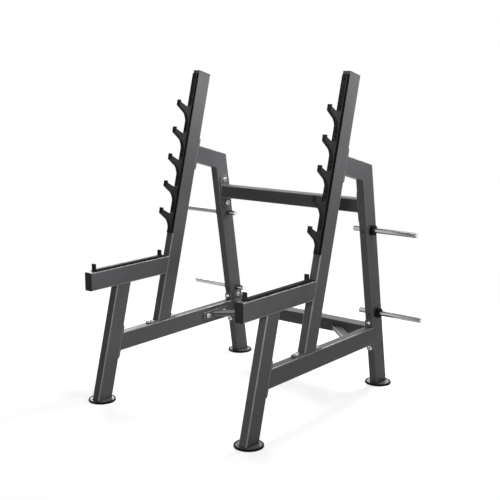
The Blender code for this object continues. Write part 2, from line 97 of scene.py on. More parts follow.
def slantedLine(floorY, degrees):
    angle = math.radians(degrees)
    return {
        "floor": Vector((0, floorY, 0)),
        "along": Vector((0, math.sin(angle), math.cos(angle))),
        "back": Vector((0, math.cos(angle), -math.sin(angle))),
    }


def atHeight(line, height, depth):
    start = line["floor"] + line["back"] * depth
    return start + line["along"] * ((height - start.z) / line["along"].z)


def upTo(line, distance, depth):
    return line["floor"] + line["along"] * distance + line["back"] * depth


def meeting(pointA, directionA, pointB, directionB):
    # where two lines of the side view cross
    normal = Vector((0, -directionB.z, directionB.y))
    return pointA + directionA * ((pointB - pointA).dot(normal) / directionA.dot(normal))


frontLegLine = slantedLine(sideFrame["frontLegFloor"], sideFrame["lean"])
uprightLine = slantedLine(sideFrame["uprightFloor"], sideFrame["lean"])
rearLegLine = slantedLine(sideFrame["rearLegFloor"], sideFrame["rearLean"])
leanAlong, leanBack = uprightLine["along"], uprightLine["back"]    # the front legs lean alike
rearAlong, rearBack = rearLegLine["along"], rearLegLine["back"]


# Materials

surface = {
    "fineShare": 0.35,        # of the fine texture in the gloss
    "dustRoughens": 0.35,
    "coatRoughness": 0.28,
    "coatIor": 1.8,
    "alongRod": 0.02,         # stretches the streaks along X
}


def connect(tree, value, socket):
    # links a node's output, or sets a plain number
    if isinstance(value, bpy.types.NodeSocket):
        tree.links.new(value, socket)
    else:
        socket.default_value = value


def addNode(tree, kind, **values):
    node = tree.nodes.new("ShaderNode" + kind)
    for key, value in values.items():
        if key in node.inputs:
            node.inputs[key].default_value = value
        else:
            setattr(node, key, value)
    return node


def feed(tree, node, *values):
    # fills a node's inputs in order and gives its first output
    for socket, value in zip(node.inputs, values):
        connect(tree, value, socket)
    return node.outputs[0]


def addMath(tree, operation, *values):
    return feed(tree, addNode(tree, "Math", operation=operation), *values)


def addRange(tree, value, fromMin, fromMax, toMin=0.0, toMax=1.0):
    return feed(tree, addNode(tree, "MapRange"), value, fromMin, fromMax, toMin, toMax)


def addNoise(tree, scale, detail, roughness=0.5, stretch=None):
    place = addNode(tree, "TexCoord").outputs["Object"]
    if stretch:
        place = feed(tree, addNode(tree, "VectorMath", operation="MULTIPLY"), place, stretch)
    noise = addNode(tree, "TexNoise", Detail=detail, Roughness=roughness)
    tree.links.new(place, noise.inputs["Vector"])
    connect(tree, scale, noise.inputs["Scale"])
    return noise.outputs["Fac"]


def mixColour(tree, factor, first, second):
    node = tree.nodes.new("ShaderNodeMix")
    node.data_type = "RGBA"
    tree.links.new(factor, node.inputs["Factor"])
    connect(tree, first, node.inputs[6])
    connect(tree, second, node.inputs[7])
    return node.outputs[2]


def addGroup(name, inputs, build):
    # build makes the nodes and gives the group's outputs by name
    group = bpy.data.node_groups.new(name, "ShaderNodeTree")
    for label in inputs:
        group.interface.new_socket(name=label, in_out="INPUT", socket_type="NodeSocketFloat")
    made = build(group, group.nodes.new("NodeGroupInput").outputs)
    for label in made:
        group.interface.new_socket(name=label, in_out="OUTPUT", socket_type="NodeSocketFloat")
    out = group.nodes.new("NodeGroupOutput")
    for label, value in made.items():
        group.links.new(value, out.inputs[label])
    return group


def placeGroup(tree, group, values):
    node = tree.nodes.new("ShaderNodeGroup")
    node.node_tree = group
    for socket, value in zip(node.inputs, values):
        socket.default_value = value
    return node.outputs


def grainNodes(group, given):
    # fine texture for the bump, slow blotches for the colour, and both for the gloss
    fine = addNoise(group, given["Grain Scale"], 3.0, 0.6)
    blotch = addNoise(group, given["Blotch Scale"], 4.0)
    mixed = addMath(group, "MULTIPLY_ADD", fine, surface["fineShare"], blotch)
    return {
        "Height": fine,
        "Blotch": addRange(group, blotch, 0.3, 0.7),
        "Roughness": addRange(group, mixed, 0.5, 0.85, given["Smoothest"], given["Roughest"]),
    }


def wearNodes(group, given):
    # rounded corners are rubbed glossy, and painted paler where noise breaks the coat up: partly real wear,
    # partly a painted highlight
    corner = addNode(group, "Attribute", attribute_name="rubbedAndHighlit").outputs["Fac"]
    noise = addNoise(group, given["Patch Scale"], 5.0, 0.65)
    wornAndHighlit = addMath(group, "MULTIPLY", corner, addRange(group, noise, 0.3, 0.7, 0.5, 1.0))
    shiny = addMath(group, "MULTIPLY", corner, addRange(group, noise, 0.3, 0.7, 0.8, 1.0))
    return {
        "Wear": addMath(group, "MULTIPLY", wornAndHighlit, given["Amount"]),
        "Gloss": addMath(group, "MULTIPLY", shiny, given["Polish"]),
    }


def dustNodes(group, given):
    # thin settled dust on what faces up
    split = addNode(group, "SeparateXYZ")
    group.links.new(addNode(group, "NewGeometry").outputs["Normal"], split.inputs[0])
    upward = addRange(group, split.outputs["Z"], 0.55, 0.98)
    patch = addRange(group, addNoise(group, given["Patch Scale"], 6.0, 0.6), 0.3, 0.75)
    dusty = addMath(group, "MULTIPLY", upward, patch)
    return {"Dust": addMath(group, "MULTIPLY", dusty, given["Amount"])}


def streakNodes(group, given):
    # tone lines that run along a drawn steel rod: partly die lines, partly dark bands painted in as
    # reflections
    noise = addNoise(group, given["Streak Scale"], 2.0, 0.4, (surface["alongRod"], 1.0, 1.0))
    return {"StreakAndReflection": addRange(group, noise, given["Darkest"], given["Lightest"])}


surfaceGrain = addGroup("surfaceGrain", ("Grain Scale", "Blotch Scale", "Smoothest", "Roughest"), grainNodes)
edgeWear = addGroup("edgeWear", ("Patch Scale", "Amount", "Polish"), wearNodes)
settledDust = addGroup("settledDust", ("Patch Scale", "Amount"), dustNodes)
streaksAndPaintedReflections = addGroup("streaksAndPaintedReflections", ("Streak Scale", "Darkest", "Lightest"), streakNodes)

# tones: dark, light, worn (corner wear together with a painted highlight) and dusty, one number for a plain
# grey
# grain, wear and painted highlight, dust, and streaks with painted reflections: the inputs of their groups
# in order; bump: strength and distance
finishes = {
    "powderCoat": {
        "slot": "frame_paint", "specular": 0.1,
        "tones": ((0.072, 0.073, 0.076), (0.084, 0.085, 0.088), (0.27, 0.271, 0.274), 0.15),
        "grain": (850, 4, 0.26, 0.36), "wear": (24, 0.75, 0.5), "dust": (9, 0.2), "bump": (0.25, 0.0001),
    },
    # the frame paint made darker for the upper cross member: painted shade
    "crossCoatPaintedShade": {
        "slot": "frame_paint", "specular": 0.08,
        "tones": ((0.05, 0.051, 0.053), (0.061, 0.062, 0.064), (0.17, 0.171, 0.174), 0.13),
        "grain": (850, 4, 0.28, 0.38), "wear": (24, 0.6, 0.5), "dust": (9, 0.2), "bump": (0.25, 0.0001),
    },
    "discCoat": {
        "slot": "frame_paint", "specular": 0.35,
        "tones": ((0.05, 0.051, 0.053), (0.064, 0.065, 0.067), (0.13, 0.13, 0.132), 0.15),
        "grain": (700, 14, 0.14, 0.24), "wear": (60, 0.6, 0.6), "dust": (40, 0.12), "bump": (0.2, 0.0001),
    },
    "hookPlastic": {
        "slot": "hook_plastic", "specular": 0.02,
        "tones": ((0.021, 0.021, 0.022), (0.028, 0.028, 0.029), (0.045, 0.045, 0.046), 0.06),
        "grain": (1300, 22, 0.44, 0.58), "wear": (70, 0.5, 0), "dust": (35, 0.08), "bump": (0.35, 0.0001),
    },
    "capPlastic": {
        "slot": "cap_plastic", "specular": 0.1,
        "tones": ((0.012, 0.012, 0.013), (0.017, 0.017, 0.018), (0.045, 0.045, 0.046), 0.07),
        "grain": (1100, 30, 0.42, 0.56), "wear": (90, 0.4, 0), "dust": (40, 0.15), "bump": (0.45, 0.00015),
    },
    "endCapBlack": {
        "slot": "cap_plastic", "specular": 0.04, "tones": (0.003, 0.006, 0.015, 0.02),
        "grain": (1100, 30, 0.5, 0.64), "wear": (90, 0.4, 0), "dust": (40, 0.08), "bump": (0.45, 0.00015),
    },
    "backingRubber": {
        "slot": "backing_rubber", "specular": 0.05, "tones": (0.003, 0.006, 0.012, 0.03),
        "grain": (1500, 25, 0.65, 0.85), "wear": (80, 0.3, 0), "dust": (30, 0.1), "bump": (0.5, 0.00015),
    },
    "footRubber": {
        "slot": "foot_rubber", "specular": 0.04, "tones": (0.005, 0.009, 0.016, (0.03, 0.0295, 0.0285)),
        "grain": (800, 28, 0.46, 0.66), "wear": (80, 0.4, 0), "dust": (50, 0.18), "bump": (0.5, 0.0002),
    },
    # the chrome's dark tone, laid in streaks along the rod, is a painted reflection on top of real die lines
    "rodChrome": {
        "slot": "rod_steel", "metallic": 1, "edgeTint": 0.25,
        "streakAndReflectionTones": (110, 0.36, 0.6),
        "tones": ((0.13, 0.132, 0.135), (0.66, 0.665, 0.67), (0.26, 0.26, 0.265), 0.4),
        "grain": (320, 16, 0.16, 0.27), "wear": (60, 0.5, 0), "dust": (30, 0.05), "bump": (0.08, 0.00008),
    },
    "boltZinc": {
        "slot": "rod_steel", "metallic": 1,
        "tones": ((0.66, 0.665, 0.67), (0.8, 0.805, 0.81), 0.55, 0.45),
        "grain": (900, 90, 0.18, 0.34), "wear": (150, 0.5, 0), "dust": (60, 0.1), "bump": (0.15, 0.00006),
    },
    # near black for the beads round the leg feet: painted contact shade
    "seamShade": {
        "slot": "frame_paint", "specular": 0.03, "tones": (0.006, 0.013, 0.02, 0.03),
        "grain": (1200, 60, 0.5, 0.65), "wear": (60, 0.3, 0), "dust": (60, 0.08), "bump": (0.3, 0.00008),
    },
    # near black inside the bolts' hex sockets: painted shade in the recess
    "socketShade": {
        "slot": "rod_steel", "specular": 0.02, "tones": (0.004, 0.008, 0.015, 0.02),
        "grain": (1400, 120, 0.45, 0.6), "wear": (200, 0.4, 0), "dust": (60, 0.1), "bump": (0.2, 0.00005),
    },
    "screwBlack": {
        "slot": "rod_steel", "specular": 0.03, "tones": (0.002, 0.004, 0.015, 0.03),
        "grain": (1400, 120, 0.38, 0.5), "wear": (200, 0.4, 0), "dust": (60, 0.05), "bump": (0.2, 0.00005),
    },
}


def opaque(tone):
    return (*tone, 1) if isinstance(tone, tuple) else (tone, tone, tone, 1)


def makeFinish(name, look):
    material = bpy.data.materials.new(name)
    material.use_nodes = True
    tree = material.node_tree
    link = tree.links.new
    shader = tree.nodes["Principled BSDF"].inputs
    shader["Metallic"].default_value = look.get("metallic", 0.0)
    shader["Specular IOR Level"].default_value = look.get("specular", 0.5)
    shader["Specular Tint"].default_value = opaque(look.get("edgeTint", 1.0))
    shader["Coat Roughness"].default_value = surface["coatRoughness"]
    shader["Coat IOR"].default_value = surface["coatIor"]
    grain = placeGroup(tree, surfaceGrain, look["grain"])
    wear = placeGroup(tree, edgeWear, look["wear"])
    dust = placeGroup(tree, settledDust, look["dust"])["Dust"]
    tone = grain["Blotch"]
    # the rods take their tone from the streaks, partly painted reflections
    if "streakAndReflectionTones" in look:
        tone = placeGroup(tree, streaksAndPaintedReflections, look["streakAndReflectionTones"])["StreakAndReflection"]
    dark, light, wornAndHighlit, dusty = [opaque(tint) for tint in look["tones"]]
    colour = mixColour(tree, tone, dark, light)
    # corners are mixed towards the pale worn tone: real wear together with a painted highlight
    colour = mixColour(tree, wear["Wear"], colour, wornAndHighlit)
    link(mixColour(tree, dust, colour, dusty), shader["Base Color"])
    rough = addMath(tree, "MULTIPLY_ADD", dust, surface["dustRoughens"], grain["Roughness"])
    link(rough, shader["Roughness"])
    if look["wear"][-1]:      # some polish
        link(wear["Gloss"], shader["Coat Weight"])
    bump = addNode(tree, "Bump", Strength=look["bump"][0], Distance=look["bump"][1])
    link(grain["Height"], bump.inputs["Height"])
    link(bump.outputs["Normal"], shader["Normal"])
    return material


materials = {name: makeFinish(name, look) for name, look in finishes.items()}
print("materials:", len(materials))


# Shaping helpers

cornerStrip = 0.0026          # faces narrower than this belong to a rounded corner
sharpAngle = math.radians(50)
roughLength = 2.5             # a tube reaches this far both ways before its ends are cut


def only(kind, made):
    return [item for item in made["geom"] if isinstance(item, kind)]


def move(bm, vec, verts=None):
    bmesh.ops.translate(bm, vec=vec, verts=verts or bm.verts)


def turnOutwards(bm):
    bmesh.ops.recalc_face_normals(bm, faces=bm.faces)


def clean(bm):
    bmesh.ops.remove_doubles(bm, verts=bm.verts, dist=tiny)
    turnOutwards(bm)


def meshFrom(bm, name):
    mesh = bpy.data.meshes.new(name)
    bm.to_mesh(mesh)
    bm.free()
    return mesh


def addObject(name, data):
    obj = bpy.data.objects.new(name, data)
    bpy.context.scene.collection.objects.link(obj)
    return obj


def dimHighlitCorners(bm, share, covered=None):
    # takes part of the wear and painted highlight off a tube's corners, as painted shade, on all faces or
    # the covered ones
    cornerShade = bm.faces.layers.float.new("cornerShade")
    for face in bm.faces:
        if covered is None or covered(face.calc_center_median()):
            face[cornerShade] = share


def markCorners(bm):
    # the finishes read this mark to wear, gloss and lighten the corners; the lighter colour is partly a
    # painted highlight
    rubbedAndHighlit = bm.faces.layers.float.new("rubbedAndHighlit")
    cornerShade = bm.faces.layers.float.get("cornerShade")
    for face in bm.faces:
        longest = max(edge.calc_length() for edge in face.edges)
        if face.calc_area() < cornerStrip * longest:
            face[rubbedAndHighlit] = 1.0 - (face[cornerShade] if cornerShade else 0.0)
    if cornerShade:
        bm.faces.layers.float.remove(cornerShade)


def finishPiece(bm, name, finish="powderCoat", smoothAngle=40, inner=None):
    # merges, turns the faces outwards and puts the piece on the rack; inner is a second finish
    clean(bm)
    if smoothAngle < 180:
        markCorners(bm)
    mesh = meshFrom(bm, name)
    mesh.materials.append(materials[finish])
    if inner:
        mesh.materials.append(materials[inner])
    mesh.shade_smooth()
    mesh.set_sharp_from_angle(angle=math.radians(smoothAngle))
    piece = addObject(name, mesh)
    even = piece.modifiers.new("evenNormals", "WEIGHTED_NORMAL")
    even.keep_sharp = True
    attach(piece, "root")
    return piece


def onBothSides(bm, name, node=None, finish="powderCoat", smoothAngle=40):
    # the same piece on the left and the right side frame
    for side, away in sides.items():
        copied = bm.copy()
        move(copied, away * sideFrame["middle"])
        piece = finishPiece(copied, name + side, finish, smoothAngle)
        if node:
            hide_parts(node + "_" + side.lower())
    bm.free()


def roundedFace(wide, tall, radius, segments):
    bm = bmesh.new()
    bmesh.ops.create_grid(bm, x_segments=1, y_segments=1, size=0.5)
    bmesh.ops.scale(bm, vec=(wide, tall, 1), verts=bm.verts)
    bmesh.ops.bevel(bm, geom=bm.verts[:], offset=radius, offset_type="OFFSET", segments=segments,
                    profile=0.5, affect="VERTICES", material=-1)
    return bm


def pushOut(bm, faces, offset):
    made = bmesh.ops.extrude_face_region(bm, geom=faces, use_keep_orig=True)
    moved = only(BMVert, made)
    move(bm, offset, moved)
    return moved


def slab(wide, tall, thick, radius, segments):
    # flat block with rounded corners, its back on the XY plane
    bm = roundedFace(wide, tall, radius, segments)
    pushOut(bm, bm.faces[:], up * thick)
    turnOutwards(bm)
    return bm


def standOn(bm, place, side, rise, normal):
    # turns a shape made on the XY plane onto three directions and moves it to its place
    turn = Matrix((side, rise, normal)).transposed().to_4x4()
    bmesh.ops.transform(bm, matrix=Matrix.Translation(place) @ turn, verts=bm.verts)


def pointAlong(bm, place, direction):
    # turns a shape made round the Z axis onto a direction and moves it to its place
    turn = up.rotation_difference(direction).to_matrix()
    standOn(bm, place, *turn.transposed())


def bisect(bm, point, normal, clear):
    everything = bm.verts[:] + bm.edges[:] + bm.faces[:]
    return bmesh.ops.bisect_plane(bm, geom=everything, dist=tiny, plane_co=point, plane_no=normal,
                                  clear_outer=clear)


def cutOff(bm, point, normal):
    # cuts away what lies past a plane, closes the cut, and gives its outline, which goes the same
    # way round from the same corner in every run
    cut = bisect(bm, point, normal, True)
    rim = [item for item in cut["geom_cut"] if isinstance(item, BMEdge)]
    face = bmesh.ops.contextual_create(bm, geom=rim)["faces"][0]
    face.normal_update()
    if face.normal.dot(normal) < 0:
        face.normal_flip()
    outline = [vert.co.copy() for vert in face.verts]
    first = outline.index(min(outline, key=lambda corner: [round(value, 5) for value in corner]))
    return outline[first:] + outline[:first]


def cutTube(place, direction, startCut, endCut, side=across, size=sideFrame["tube"]):
    # rectangular tube along a line, both ends cut on planes, and the outlines of the cuts; a plane
    # is a point and a normal
    bm = roundedFace(size[0], size[1], sideFrame["corner"], sideFrame["cornerSegments"])
    pushOut(bm, bm.faces[:], up * roughLength * 2)
    standOn(bm, place - direction * roughLength, side, direction.cross(side), direction)
    return bm, (cutOff(bm, *startCut), cutOff(bm, *endCut))


def roundEdges(bm, edges, radius, segments=3):
    bmesh.ops.bevel(bm, geom=edges, offset=radius, offset_type="OFFSET", segments=segments,
                    profile=0.5, affect="EDGES", material=-1, clamp_overlap=True)


def sharpEdges(bm):
    return [edge for edge in bm.edges if edge.calc_face_angle(0) > sharpAngle]


def lowest(edge):
    return min(vert.co.z for vert in edge.verts)


def reaches(edge, radius):
    # true where all of the edge is this far from the Z axis
    return min(vert.co.xy.length for vert in edge.verts) > radius - margin


def endPlate(place, side, rise, normal, size, corner):
    # flat plate with rounded corners and softened edges; place is the middle of its back face
    bm = slab(size[0], size[1], plates["thick"], corner, plates["cornerSegments"])
    roundEdges(bm, sharpEdges(bm), plates["edgeRound"])
    standOn(bm, place, side, rise, normal)
    return bm


def sidePlate(name, place, outward, long, node=None):
    # the same plate on both side frames; place is on the face that it is bolted to
    plate = endPlate(place + outward * gap, across, outward.cross(across), outward,
                     (plates["wide"], long), plates["corner"])
    onBothSides(plate, name, node)


weld = {
    "pitch": 0.0011,          # half a ripple
    "ripple": 0.84,
    "radius": 0.0028,
    "squeeze": 0.88,          # draws the sides of a bead in under faces that lie flush
}


def weldMesh(loop, radius, squeeze=1.0):
    # rippled bead round a tube's cut end
    points = [Vector((point.x * squeeze, point.y, point.z)) for point in loop]
    spans = list(zip(points, points[1:] + points[:1]))
    lengths = [(second - first).length for first, second in spans]
    total = sum(lengths)
    count = 2 * round(total / weld["pitch"] / 2)
    curve = bpy.data.curves.new("bead", "CURVE")
    curve.dimensions = "3D"
    curve.bevel_depth = radius
    curve.bevel_resolution = 2
    spline = curve.splines.new("POLY")
    spline.points.add(count - 1)
    spline.use_cyclic_u = True
    walked = 0.0
    index = 0
    for number in range(count):
        wanted = total * number / count
        while walked + lengths[index] < wanted:
            walked += lengths[index]
            index += 1
        first, second = spans[index]
        here = first.lerp(second, (wanted - walked) / lengths[index])
        spline.points[number].co = (*here, 1)
        spline.points[number].radius = weld["ripple"] if number % 2 else 1.0
    carrier = addObject("bead", curve)
    bm = bakedMesh(carrier)
    bpy.data.objects.remove(carrier)
    bpy.data.curves.remove(curve)
    return bm


def bakedMesh(obj):
    # an object's shape with its modifiers, or a curve's bead
    bpy.context.view_layer.update()
    ready = obj.evaluated_get(bpy.context.evaluated_depsgraph_get())
    mesh = bpy.data.meshes.new_from_object(ready)
    bm = bmesh.new()
    bm.from_mesh(mesh)
    bpy.data.meshes.remove(mesh)
    return bm


def weldOnBothSides(name, loop, finish="powderCoat", squeeze=weld["squeeze"]):
    onBothSides(weldMesh(loop, weld["radius"], squeeze), "weld" + name, None, finish, 180)


pocket = {
    "countersink": 0.0005,
    "clear": 0.004,           # how far a cutter stands out of the face
    "segments": 32,
}


def pocketCutter(place, outward, radius, deep):
    # straight pocket with a small countersink at its mouth
    bm = bmesh.new()
    bmesh.ops.create_circle(bm, cap_ends=True, radius=radius, segments=pocket["segments"])
    move(bm, up * -deep)
    flare = pocket["countersink"]
    rings = ((radius, deep - flare), (radius + flare, flare), (radius + flare, pocket["clear"]))
    for number, (size, rise) in enumerate(rings):
        top = max(bm.faces, key=lambda face: face.calc_center_median().z)
        moved = pushOut(bm, [top], up * rise)
        if number:            # the first one stays, as the pocket's floor
            bmesh.ops.delete(bm, geom=[top], context="FACES_ONLY")
        spread = size / moved[0].co.xy.length
        bmesh.ops.scale(bm, vec=(spread, spread, 1), verts=moved)
    turnOutwards(bm)
    pointAlong(bm, place, outward)
    return bm


def withPockets(bm, places, outward, radius, deep):
    # the shape with a round pocket cut in at each place
    turnOutwards(bm)
    base = addObject("base", meshFrom(bm, "base"))
    tools = []
    for place in places:
        cutter = meshFrom(pocketCutter(place, outward, radius, deep), "cutter")
        tools.append(addObject("cutter", cutter))
        cut = base.modifiers.new("pocket", "BOOLEAN")
        cut.operation = "DIFFERENCE"
        cut.solver = "EXACT"
        cut.object = tools[-1]
    result = bakedMesh(base)
    clean(result)
    spare = [vert for vert in result.verts if len(vert.link_edges) == 2]
    bmesh.ops.dissolve_verts(result, verts=spare)
    for obj in [base] + tools:
        bpy.data.meshes.remove(obj.data)
    return result


# Legs, with their steel discs and rubber feet

foot = {
    "discRadius": 0.0656845,
    "discTop": 0.010,
    "discLow": 0.0043,
    "discRound": 0.0009,
    "rubberFloor": 0.004,
    "rimTop": 0.0108,
    "rimRound": 0.0026,
    "lipRound": 0.0008,
    "rubberRadius": 0.0749847,
    "segments": 96,
}


def turned(profile, segments):
    # closed profile of (radius, height) spun round the Z axis
    bm = bmesh.new()
    verts = [bm.verts.new((radius, 0, height)) for radius, height in profile]
    edges = [bm.edges.new(pair) for pair in zip(verts, verts[1:])]
    bmesh.ops.spin(bm, geom=verts + edges, cent=(0, 0, 0), axis=up, angle=math.tau,
                   steps=segments, use_merge=True, use_duplicate=False)
    clean(bm)
    return bm


def turnedRing(inner, outer, high, roundness, segments):
    # flat ring with rounded outer edges
    bm = turned([(inner, 0), (outer, 0), (outer, high), (inner, high), (inner, 0)], segments)
    roundEdges(bm, [edge for edge in sharpEdges(bm) if reaches(edge, outer)], roundness, 2)
    return bm


def footDisc():
    profile = [(0, foot["discLow"]), (foot["discRadius"], foot["discLow"]),
               (foot["discRadius"], foot["discTop"]), (0, foot["discTop"])]
    bm = turned(profile, foot["segments"])
    roundEdges(bm, sharpEdges(bm), foot["discRound"])
    return bm


def rubberFoot():
    inner = foot["discRadius"] + gap
    outer = foot["rubberRadius"]
    profile = [(0, 0), (outer, 0), (outer, foot["rimTop"]), (inner, foot["rimTop"]),
               (inner, foot["rubberFloor"]), (0, foot["rubberFloor"])]
    bm = turned(profile, foot["segments"])
    rim = [edge for edge in bm.edges if lowest(edge) > foot["rimTop"] - margin and reaches(edge, outer)]
    roundEdges(bm, rim, foot["rimRound"], 5)
    lips = [edge for edge in sharpEdges(bm) if abs(lowest(edge) - foot["rubberFloor"]) > margin]
    roundEdges(bm, lips, foot["lipRound"])
    return bm


discPlane = (Vector((0, 0, foot["discTop"])), -up)
frontFootAt = atHeight(frontLegLine, foot["discTop"], halfDeep)
rearFootAt = atHeight(rearLegLine, foot["discTop"], halfDeep)
kneeFront = atHeight(uprightLine, sideFrame["kneeTop"], tubeDeep)
kneeMiddle = kneeFront - leanAlong * halfDeep
mitreOuter = meeting(kneeFront, leanBack, upTo(rearLegLine, 1, tubeDeep), rearAlong)
mitreInner = meeting(kneeFront - leanAlong * tubeDeep, leanBack, upTo(rearLegLine, 1, 0), rearAlong)
mitreLine = (mitreOuter - mitreInner).normalized()
mitreNormal = Vector((0, mitreLine.z, -mitreLine.y))    # to the rear and down, into the leg
mitreAt = (mitreOuter + mitreInner) / 2
underArm = Vector((0, 0, armTop - tubeDeep))

frontTube, frontLoops = cutTube(frontFootAt, leanAlong, discPlane, (underArm, up))
onBothSides(frontTube, "frontLeg", "front_leg")
# the foot bead is near black: painted shade where the leg meets its disc
weldOnBothSides("FrontLegFoot", frontLoops[0], "seamShade", 1.0)
weldOnBothSides("FrontLegArm", frontLoops[1])

storage = {
    "radius": 0.014,
    "outerEnd": 0.826,
    "innerEnd": 0.431,
    "chamfer": 0.0015,
    "heights": {"upper": 0.928, "lower": 0.440},
    "collarRadius": 0.028,
    "collarLong": 0.022,
    "collarRound": 0.0025,
    "setScrewDrop": 0.007,    # set screws sit this far below the rods' middle lines
    "setScrewRadius": 0.0056,
    "setScrewDeep": 0.0024,
    "segments": 64,
}
rodPlaces = {level: atHeight(rearLegLine, height, halfDeep) for level, height in storage["heights"].items()}
setScrewPlaces = [atHeight(rearLegLine, height - storage["setScrewDrop"], 0)
                  for height in storage["heights"].values()]

rearTube, rearLoops = cutTube(rearFootAt, rearAlong, discPlane, (mitreAt, -mitreNormal))
rearTube = withPockets(rearTube, setScrewPlaces, -rearBack, storage["setScrewRadius"],
                       storage["setScrewDeep"])
dimHighlitCorners(rearTube, sideFrame["rearCornerShade"])
onBothSides(rearTube, "rearLeg", "rear_leg")
# the foot bead is near black: painted shade where the leg meets its disc
weldOnBothSides("RearLegFoot", rearLoops[0], "seamShade", 1.0)

for end, place in (("front", frontFootAt), ("rear", rearFootAt)):
    disc = footDisc()
    move(disc, rearward * place.y)
    onBothSides(disc, end + "FootDisc", finish="discCoat")
    rubber = rubberFoot()
    move(rubber, rearward * place.y)
    onBothSides(rubber, end + "RubberFoot", "rubber_foot_" + end, "footRubber")
print("legs and feet ready")


# Spotter arm, upright, knee beam and lower rail

cap = {
    "thick": 0.003,
    "round": 0.0012,
}
armMeets = atHeight(uprightLine, armTop, 0)
armEnd = Vector((0, sideFrame["armFront"] + cap["thick"] + gap, armTop - halfDeep))
armTube, armLoops = cutTube(armEnd, rearward, (armEnd, -rearward), (armMeets, leanBack))
onBothSides(armTube, "spotterArm", "spotter_arm")
weldOnBothSides("ArmUpright", armLoops[1])

baseMiddle = atHeight(uprightLine, sideFrame["railTop"], halfDeep)
uprightLength = sideFrame["uprightTop"] / leanAlong.z
uprightEnd = upTo(uprightLine, uprightLength, halfDeep)
uprightTube, uprightLoops = cutTube(baseMiddle, leanAlong, (baseMiddle + up * (plateFace - inset), -up),
                                    (uprightEnd, leanAlong))
stripLow = upTo(uprightLine, sideFrame["stripFrom"], 0)
bisect(uprightTube, stripLow, leanAlong, False)
# no wear or painted highlight on the upright's corners along its black strip, painted shade where the strip
# shades them
dimHighlitCorners(uprightTube, 1.0, lambda point: (point - stripLow).dot(leanAlong) > 0
        and (point - stripLow).dot(leanBack) < sideFrame["corner"])
onBothSides(uprightTube, "upright", "upright")
sidePlate("uprightBasePlate", baseMiddle, up, plates["baseLong"])
weldOnBothSides("UprightBase", [point + up * inset for point in uprightLoops[0]])

kneeCut = (kneeMiddle + leanBack * (plateFace - inset), -leanBack)
kneeTube, kneeLoops = cutTube(kneeMiddle, leanBack, kneeCut, (mitreAt, mitreNormal))
dimHighlitCorners(kneeTube, sideFrame["rearCornerShade"])
onBothSides(kneeTube, "kneeBeam", "knee_beam")
sidePlate("kneePlate", kneeMiddle, leanBack, plates["long"])
weldOnBothSides("Knee", [point + leanBack * inset for point in kneeLoops[0]])

railHeight = sideFrame["railTop"] - halfDeep
railEnds = {
    "front": (atHeight(frontLegLine, railHeight, tubeDeep), leanBack, leanAlong),
    "rear": (atHeight(rearLegLine, railHeight, 0), -rearBack, rearAlong),
}
railCuts = [(place + inward * (plateFace - inset), -inward)
            for place, inward, along in railEnds.values()]
railTube, railLoops = cutTube(railEnds["front"][0], rearward, *railCuts)
onBothSides(railTube, "lowerRail", "lower_rail")
for (end, (place, inward, along)), loop in zip(railEnds.items(), railLoops):
    sidePlate("railPlate" + end.capitalize(), place, inward, plates["long"], "rail_plate_" + end)
    weldOnBothSides("Rail" + end.capitalize(), [point + inward * inset for point in loop])
print("side frames ready")


# Cross members between the rear legs

cross = {
    "size": (0.075, 0.075),
    "heights": {"upper": 1.064, "lower": 0.320},
    "coats": {"upper": "crossCoatPaintedShade", "lower": "powderCoat"},    # the upper one is painted darker, as painted shade
    "weldRadius": 0.0023,
}
crossPlaces = {level: atHeight(rearLegLine, height, halfDeep) for level, height in cross["heights"].items()}
crossEnd = across * (innerFace - plateFace + inset)
for level, middle in crossPlaces.items():
    tube, loops = cutTube(middle, across, (middle - crossEnd, -across), (middle + crossEnd, across),
                          rearward, cross["size"])
    piece = finishPiece(tube, level + "CrossMember", cross["coats"][level])
    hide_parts(level + "_cross_member")
    for (side, away), loop in zip(sides.items(), loops):
        plate = endPlate(middle + away * (innerFace - gap), rearBack * -away.x, rearAlong, -away,
                         plates["crossSize"], plates["crossCorner"])
        finishPiece(plate, level + "CrossPlate" + side)
        bead = weldMesh([point - away * inset for point in loop], cross["weldRadius"])
        finishPiece(bead, "weld" + level.capitalize() + "Cross" + side, smoothAngle=180)

# Flat braces from the rails to the lower cross member

brace = {
    "size": (0.050, 0.025),
    "railY": 0.329,
    "crossX": 0.283,
    "weldRadius": 0.0022,
}
braceEndY = crossPlaces["lower"].y - cross["size"][0] / 2
braceRun = Vector((brace["crossX"] - innerFace + gap, braceEndY - gap - brace["railY"], 0)).normalized()
for side, away in sides.items():
    railPoint = Vector((away.x * (innerFace - gap), brace["railY"], railHeight))
    direction = Vector((away.x * braceRun.x, braceRun.y, 0))
    platePlane = railPoint - away * (plates["thick"] - inset)
    crossPlane = Vector((0, braceEndY, railHeight))
    tube, (railLoop, crossLoop) = cutTube(railPoint, direction, (platePlane, away),
                                          (crossPlane, rearward), direction.cross(up), brace["size"])
    piece = finishPiece(tube, "brace" + side)
    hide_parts("brace_" + side.lower())
    plate = endPlate(railPoint, up, up.cross(away), -away, plates["braceSize"], plates["braceCorner"])
    finishPiece(plate, "bracePlate" + side)
    slope = direction * (inset / abs(direction.x))
    for part, loop in (("Rail", [point + slope for point in railLoop]), ("Cross", crossLoop)):
        bead = weldMesh(loop, brace["weldRadius"])
        finishPiece(bead, "weldBrace" + part + side, smoothAngle=180)
print("cross members and braces ready")


# Plastic caps in the open tube ends

def tubeCap(place, normal, rise):
    bm = slab(tubeWide, tubeDeep, cap["thick"], sideFrame["corner"], sideFrame["cornerSegments"])
    roundEdges(bm, [edge for edge in bm.edges if lowest(edge) > cap["thick"] - margin], cap["round"])
    standOn(bm, place + normal * gap, rise.cross(normal), rise, normal)
    return bm


onBothSides(tubeCap(uprightEnd, leanAlong, leanBack), "uprightCap", "upright_cap", "endCapBlack")
onBothSides(tubeCap(armEnd, -rearward, up), "spotterArmCap", "spotter_arm_cap", "capPlastic")


# Wear bars with their hooks

